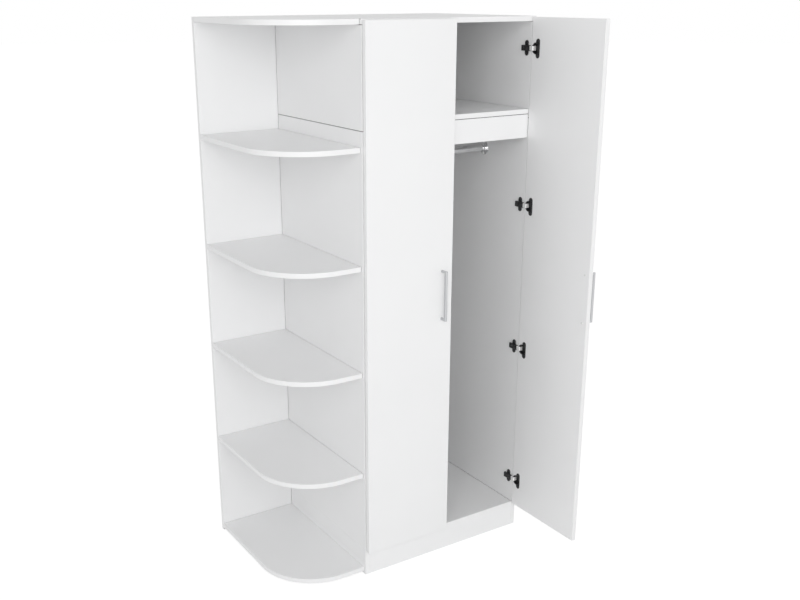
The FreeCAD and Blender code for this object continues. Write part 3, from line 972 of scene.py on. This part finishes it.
@dataclass
class ScrewGroup:
    """Pan-head screws with a cross recess in the places of a CAD node's plain ones.

    Widths and the recess's length are shares of the head's radius, and its depth is a share of the
    head's height. A point of a plain screw is on its head where it lies past head_reach of its radius.
    """

    frame: Frame
    name: str
    body: Body
    finish: Finish
    crown: float = 0.70
    shank_width: float = 0.50
    recess_width: float = 0.22
    recess_length: float = 1.20
    recess_depth: float = 0.55
    head_reach: float = 0.80
    sides: int = 20
    shank_sides: int = 10
    seed: int = 7

    def build(self, tree: GrowthTree) -> None:
        """Set a screw in every hole.

        Args:
            tree: The screw tree.
        """
        places = [self.measure(points) for points in islands(self.frame["nodes"][self.name].data)]
        seats = bpy.data.meshes.new("screw_seats")
        seats.from_pydata([place.seat for place in places], [], [])
        axis = seats.attributes.new("outward", "FLOAT_VECTOR", "POINT")
        axis.data.foreach_set("vector", [value for place in places for value in place.outward])
        size = places[0]
        values = {
            "Head radius": size.radius,
            "Head height": size.head,
            "Shank radius": self.shank_width * size.radius,
            "Shank length": size.shank,
            "Recess width": self.recess_width * size.radius,
            "Recess length": self.recess_length * size.radius,
            "Recess depth": self.recess_depth * size.head,
            "Seed": self.seed,
            "Material": self.finish.material,
        }
        mesh = tree.grow(seats, values)
        settle(new_piece(f"{self.name}_dressed", mesh), self.body, self.finish, self.name)

    def measure(self, points: np.ndarray) -> ScrewPlace:
        """Read a screw's seat, direction and sizes from its corners.

        Args:
            points: The corner points of one plain screw.

        Returns:
            The screw's place and sizes.
        """
        middle = points.mean(axis=0)
        _, directions = np.linalg.eigh(np.cov((points - middle).T))
        axis = directions[:, -1]
        along = (points - middle) @ axis
        aside = np.linalg.norm(points - middle - np.outer(along, axis), axis=1)
        head = aside > self.head_reach * aside.max()
        if along[head].mean() < 0.0:
            axis, along = -axis, -along
        seat = along[head].min()
        return ScrewPlace(
            seat=tuple(middle + axis * seat),
            outward=tuple(axis),
            radius=float(aside.max()),
            head=float(along.max() - seat),
            shank=float(seat - along.min()),
        )

    @classmethod
    def tree(cls) -> GrowthTree:
        """The screw that is set on every point.

        Returns:
            The tree, with inputs for the sizes of the head, the shank and the recess.
        """
        grow = GrowthTree("cross_recess_screw")
        radius = grow.takes("Head radius", "Float")
        height = grow.takes("Head height", "Float")
        shank_radius = grow.takes("Shank radius", "Float")
        shank_length = grow.takes("Shank length", "Float")
        recess_width = grow.takes("Recess width", "Float")
        recess_length = grow.takes("Recess length", "Float")
        recess_depth = grow.takes("Recess depth", "Float")
        seed = grow.takes("Seed", "Int")
        material = grow.takes("Material", "Material")
        crown = grow.math("MULTIPLY", radius, cls.crown)
        head = grow.add("GeometryNodeMeshCone", {
            "Vertices": cls.sides, "Radius Top": crown, "Radius Bottom": radius, "Depth": height,
        })
        # A slot block is centred on the top of the head, so half of its height cuts.
        slot_height = grow.math("MULTIPLY", recess_depth, 2.0)
        lift = grow.add("ShaderNodeCombineXYZ", {2: height})
        slots = []
        for sizes in ((recess_length, recess_width), (recess_width, recess_length)):
            size = grow.add("ShaderNodeCombineXYZ", {0: sizes[0], 1: sizes[1], 2: slot_height})
            block = grow.add("GeometryNodeMeshCube", {"Size": size.outputs[0]})
            slot = grow.add("GeometryNodeTransform", {
                "Geometry": block.outputs[0], "Translation": lift.outputs[0],
            })
            slots.append(slot.outputs[0])
        cut = grow.add(
            "GeometryNodeMeshBoolean", {"Mesh 1": head.outputs[0], "Mesh 2": slots}, operation="DIFFERENCE",
        )
        shank = grow.add("GeometryNodeMeshCone", {
            "Vertices": cls.shank_sides, "Radius Top": shank_radius, "Radius Bottom": shank_radius,
            "Depth": shank_length,
        })
        sink = grow.add("ShaderNodeCombineXYZ", {2: grow.math("MULTIPLY", shank_length, -1.0)})
        sunk = grow.add("GeometryNodeTransform", {
            "Geometry": shank.outputs[0], "Translation": sink.outputs[0],
        })
        screw = grow.add("GeometryNodeJoinGeometry", {"Geometry": [cut.outputs[0], sunk.outputs[0]]})
        outward = grow.add("GeometryNodeInputNamedAttribute", {"Name": "outward"}, data_type="FLOAT_VECTOR")
        aim = grow.add("FunctionNodeAlignRotationToVector", {"Vector": outward.outputs[0]}, axis="Z")
        turn = grow.add("FunctionNodeRandomValue", {"Seed": seed}, data_type="FLOAT")
        angle = grow.math("MULTIPLY", turn.outputs["Value"], math.pi)
        spin = grow.add("FunctionNodeAxisAngleToRotation", {"Axis": (0.0, 0.0, 1.0), "Angle": angle})
        aimed = grow.add(
            "FunctionNodeRotateRotation",
            {"Rotation": aim.outputs[0], "Rotate By": spin.outputs[0]}, rotation_space="LOCAL",
        )
        screws = grow.add("GeometryNodeInstanceOnPoints", {
            "Points": grow.start.outputs[0], "Instance": screw.outputs[0], "Rotation": aimed.outputs[0],
        })
        grow.close(screws.outputs[0], material)
        return grow


@dataclass
class Fasteners:
    """All the screws of the wardrobe, and the hidden dowels between its boards."""

    frame: Frame

    def build(self) -> None:
        """Set the screws and paint the dowels."""
        tree = ScrewGroup.tree()
        for group in self.groups():
            group.build(tree)
        for name in ("carcass_dowels", "corner_dowels"):
            repaint(self.frame, name, BEECH)

    def groups(self) -> list[ScrewGroup]:
        """Every group of screws with its body and finish.

        Returns:
            The groups, those of the rod first.
        """
        found = [ScrewGroup(self.frame, "rod_screws", Body.CARCASS, ZINC)]
        for hand in Hand:
            side = hand.value
            found.append(ScrewGroup(self.frame, f"{side}_arm_screws", Body.CARCASS, BLACK_STEEL))
            found.append(ScrewGroup(self.frame, f"{side}_plate_screws", Body.CARCASS, BLACK_STEEL))
            found.append(ScrewGroup(self.frame, f"{side}_cup_screws", hand.door, BLACK_STEEL))
            found.append(ScrewGroup(self.frame, f"{side}_handle_screws", hand.door, ZINC))
        return found


@dataclass
class Studio:
    """A pale floor, a white surround and one broad soft lamp in front."""

    floor_radius: float = 40.0
    floor_steps: int = 96
    floor_glow: float = 0.84
    floor_tone: Colour = (0.30, 0.30, 0.30)
    floor_bounce: Colour = (0.88, 0.88, 0.88)
    horizon: float = 0.86
    zenith: float = 0.45
    lamp_place: Triple = (-1.7, -3.8, 2.4)
    lamp_target: Triple = (0.2, 0.2, 0.7)
    lamp_width: float = 4.0
    lamp_height: float = 3.0
    lamp_power: float = 81.0

    def build(self) -> None:
        """Set the stage."""
        bpy.context.scene.view_settings.view_transform = "Standard"
        self.floor()
        self.world()
        self.lamp()

    @staticmethod
    def seen(tree: bpy.types.NodeTree) -> bpy.types.NodeSocket:
        """A socket that is 1 for rays that show the stage: from the camera, or by gloss or glass.

        Args:
            tree: The tree that the nodes go into.

        Returns:
            The socket with the sum, held at 1.
        """
        path = tree.nodes.new("ShaderNodeLightPath")
        total = path.outputs["Is Camera Ray"]
        for ray in ("Is Glossy Ray", "Is Transmission Ray"):
            join = tree.nodes.new("ShaderNodeMath")
            join.operation = "MAXIMUM"
            tree.links.new(total, join.inputs[0])
            tree.links.new(path.outputs[ray], join.inputs[1])
            total = join.outputs[0]
        return total

    def floor(self) -> None:
        """A wide pale disc that shows white, with the wardrobe's soft shadow on it."""
        bm = bmesh.new()
        bmesh.ops.create_circle(bm, cap_ends=True, segments=self.floor_steps, radius=self.floor_radius)
        mesh = bpy.data.meshes.new("studio_floor")
        bm.to_mesh(mesh)
        bm.free()
        material = bpy.data.materials.new("studio_floor")
        material.use_nodes = True
        tree = material.node_tree
        tree.nodes.clear()
        output = tree.nodes.new("ShaderNodeOutputMaterial")
        mix = tree.nodes.new("ShaderNodeMixShader")
        bounce = tree.nodes.new("ShaderNodeBsdfDiffuse")
        bounce.inputs["Color"].default_value = (*self.floor_bounce, 1.0)
        shadow = tree.nodes.new("ShaderNodeBsdfDiffuse")
        shadow.inputs["Color"].default_value = (*self.floor_tone, 1.0)
        glow = tree.nodes.new("ShaderNodeEmission")
        glow.inputs["Strength"].default_value = self.floor_glow
        shown = tree.nodes.new("ShaderNodeAddShader")
        tree.links.new(glow.outputs[0], shown.inputs[0])
        tree.links.new(shadow.outputs[0], shown.inputs[1])
        tree.links.new(self.seen(tree), mix.inputs[0])
        tree.links.new(bounce.outputs[0], mix.inputs[1])
        tree.links.new(shown.outputs[0], mix.inputs[2])
        tree.links.new(mix.outputs[0], output.inputs["Surface"])
        mesh.materials.append(material)
        floor = bpy.data.objects.new("studio_floor", mesh)
        bpy.context.scene.collection.objects.link(floor)

    def world(self) -> None:
        """A soft surround, brighter at the horizon than overhead, that shows white."""
        world = bpy.data.worlds.new("white_surround")
        world.use_nodes = True
        tree = world.node_tree
        tree.nodes.clear()
        output = tree.nodes.new("ShaderNodeOutputWorld")
        mix = tree.nodes.new("ShaderNodeMixShader")
        light = tree.nodes.new("ShaderNodeBackground")
        light.inputs["Color"].default_value = (1.0, 1.0, 1.0, 1.0)
        direction = tree.nodes.new("ShaderNodeTexCoord")
        heading = tree.nodes.new("ShaderNodeSeparateXYZ")
        fade = tree.nodes.new("ShaderNodeMapRange")
        fade.inputs["To Min"].default_value = self.horizon
        fade.inputs["To Max"].default_value = self.zenith
        tree.links.new(direction.outputs["Generated"], heading.inputs[0])
        tree.links.new(heading.outputs["Z"], fade.inputs["Value"])
        tree.links.new(fade.outputs["Result"], light.inputs["Strength"])
        white = tree.nodes.new("ShaderNodeBackground")
        white.inputs["Color"].default_value = (1.0, 1.0, 1.0, 1.0)
        tree.links.new(self.seen(tree), mix.inputs[0])
        tree.links.new(light.outputs[0], mix.inputs[1])
        tree.links.new(white.outputs[0], mix.inputs[2])
        tree.links.new(mix.outputs[0], output.inputs["Surface"])
        bpy.context.scene.world = world

    def lamp(self) -> None:
        """The broad lamp that makes the fronts the brightest faces."""
        data = bpy.data.lights.new("front_softbox", "AREA")
        data.shape = "RECTANGLE"
        data.size = self.lamp_width
        data.size_y = self.lamp_height
        data.energy = self.lamp_power
        lamp = bpy.data.objects.new("front_softbox", data)
        aim = Vector(self.lamp_target) - Vector(self.lamp_place)
        turn = aim.to_track_quat("-Z", "Y").to_matrix().to_4x4()
        lamp.matrix_world = Matrix.Translation(self.lamp_place) @ turn
        bpy.context.scene.collection.objects.link(lamp)


@dataclass
class PhotoCamera:
    """A camera at the photograph's place, for an image of 800 by 600 pixels."""

    image_width: float = 800.0
    image_height: float = 600.0
    focal_pixels: float = 992.9
    axis_pixel: tuple[float, float] = (382.5, 328.2)
    sensor: float = 36.0
    place: Triple = (-1.5396, -2.5091, 1.8775)
    yaw: float = 0.5680
    pitch: float = 0.3251
    roll: float = -0.0021

    def build(self) -> None:
        """Make the camera and give it to the scene."""
        data = bpy.data.cameras.new("photo_camera")
        data.sensor_fit = "HORIZONTAL"
        data.sensor_width = self.sensor
        data.lens = self.focal_pixels / self.image_width * self.sensor
        data.shift_x = (self.image_width / 2 - self.axis_pixel[0]) / self.image_width
        data.shift_y = (self.axis_pixel[1] - self.image_height / 2) / self.image_width
        camera = bpy.data.objects.new("photo_camera", data)
        reach = math.cos(self.pitch)
        ahead = Vector((
            math.sin(self.yaw) * reach, math.cos(self.yaw) * reach, -math.sin(self.pitch),
        ))
        level = Vector((math.cos(self.yaw), -math.sin(self.yaw), 0.0))
        above = level.cross(ahead)
        right = level * math.cos(self.roll) + above * math.sin(self.roll)
        up = above * math.cos(self.roll) - level * math.sin(self.roll)
        turn = Matrix((right, up, -ahead)).transposed().to_4x4()
        camera.matrix_world = Matrix.Translation(self.place) @ turn
        bpy.context.scene.collection.objects.link(camera)
        bpy.context.scene.camera = camera


def main() -> None:
    """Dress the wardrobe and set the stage."""
    logging.basicConfig(level=logging.INFO, format="%(name)s: %(message)s")
    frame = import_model()
    dressing = BoardDress.among(CARCASS_BOARDS + CORNER_BOARDS)
    BoardSet(frame, Body.CARCASS, BASE_BOARDS, PLAIN_DRESS).build()
    BoardSet(frame, Body.CARCASS, CARCASS_BOARDS, dressing).build()
    HardboardBacks(frame).build()
    EndUnit(frame, dressing).build()
    HangingRail(frame).build()
    for hand in Hand:
        DoorLeaf(frame, hand).build()
        HingeSet(frame, hand).build()
    Fasteners(frame).build()
    Studio().build()
    PhotoCamera().build()


if __name__ == "__main__":
    main()
